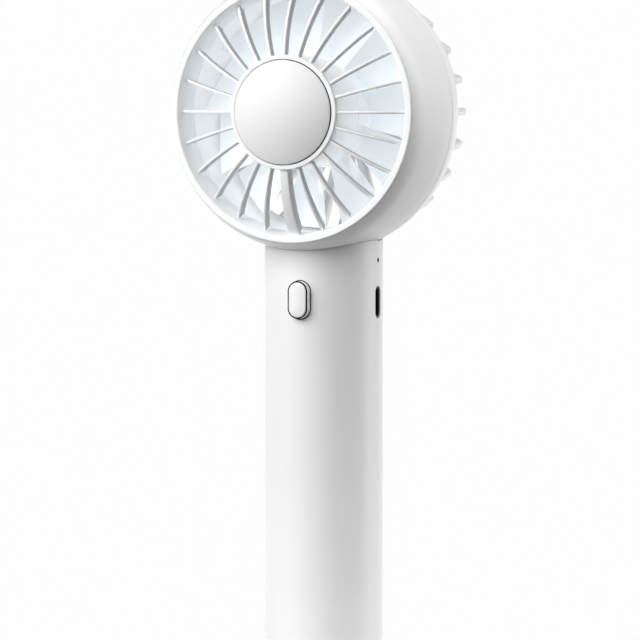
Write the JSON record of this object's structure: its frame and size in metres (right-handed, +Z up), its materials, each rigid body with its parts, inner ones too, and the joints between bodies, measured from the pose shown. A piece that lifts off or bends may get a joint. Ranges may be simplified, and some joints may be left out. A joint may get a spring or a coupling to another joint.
{
  "type": "handheld electric fan",
  "caption": "Handheld electric fan: a drum head with radial front and rear grilles, a domed hub and an enclosed impeller on a round handle with a push button.",
  "frame": {"origin": "centre of the flat foot, on the handle's axis", "axes": "+Z up along the handle; the fan blows towards -Y; the charging port faces +X"},
  "size_m": [0.0808, 0.054, 0.2104],
  "materials": {
    "shell_white": "fine satin moulded ABS, cool white",
    "grille_white": "satin moulded ABS, cool white",
    "dome_white": "soft-touch matte white",
    "handle_white": "satin moulded ABS, cool white",
    "button_white": "smooth semi-gloss white",
    "blade_pearl": "high-gloss pearl white with a cool blue cast",
    "steel": "bright machined steel",
    "lamination": "stacked electrical steel, dark grey",
    "magnet": "sintered ferrite, dark grey",
    "copper": "enamelled copper wire",
    "board_green": "solder-masked fibreglass, green",
    "chip_black": "moulded epoxy, black",
    "frame_grey": "unpainted ABS, light grey",
    "cell_wrap": "blue shrink sleeve over a steel can",
    "fibre_paper": "pressed fibre paper, pale",
    "nickel": "nickel strip",
    "lead_sleeve": "soft red silicone insulation",
    "pad_silicone": "soft pale grey silicone, matte",
    "port_black": "black liquid-crystal polymer",
    "clear": "clear acrylic light guide"
  },
  "bodies": {
    "root": {"head_housing": "shell_white", "front_grille": "grille_white", "air_duct": "grille_white", "front_cap": "dome_white", "rear_grille": "grille_white", "motor_bracket": "frame_grey", "bearing_front": "steel", "bearing_rear": "steel", "motor_screws": "steel", "stator_core": "lamination", "stator_windings": "copper", "motor_board": "board_green", "motor_board_parts": "chip_black", "phase_pins": "copper", "motor_leads": "lead_sleeve", "handle_tube": "handle_white", "bottom_cap": "handle_white", "foot_pad": "pad_silicone", "cap_screws": "steel", "inner_frame": "frame_grey", "frame_screws": "steel", "battery_cell": "cell_wrap", "cell_insulators": "fibre_paper", "battery_tabs": "nickel", "battery_leads": "lead_sleeve", "main_board": "board_green", "board_screws": "steel", "board_parts": "chip_black", "usb_shell": "steel", "usb_tongue": "port_black", "status_led": "clear", "light_pipe": "clear", "tact_switch": "chip_black"},
    "rotor": {"impeller": "blade_pearl", "rotor_cup": "steel", "magnet_ring": "magnet", "motor_shaft": "steel", "shaft_clip": "steel"},
    "button": {"power_button": "button_white"},
    "plunger": {"switch_plunger": "port_black"}
  },
  "joints": [
    {"name": "impeller_spin", "type": "hinge", "parent": "root", "child": "rotor", "pos_m": [0, 0, 0.17], "axis": [0, -1, 0], "continuous": true},
    {"name": "button_press", "type": "slide", "parent": "root", "child": "button", "axis": [0, 1, 0], "range_m": [0, 0.0005], "stiffness_N_per_m": 3000, "springref_m": -0.0001},
    {"name": "switch_press", "type": "slide", "parent": "root", "child": "plunger", "axis": [0, 1, 0], "range_m": [0, 0.0005]}
  ],
  "couplings": [
    {"joint": "switch_press", "follows": "button_press", "ratio": 1}
  ]
}
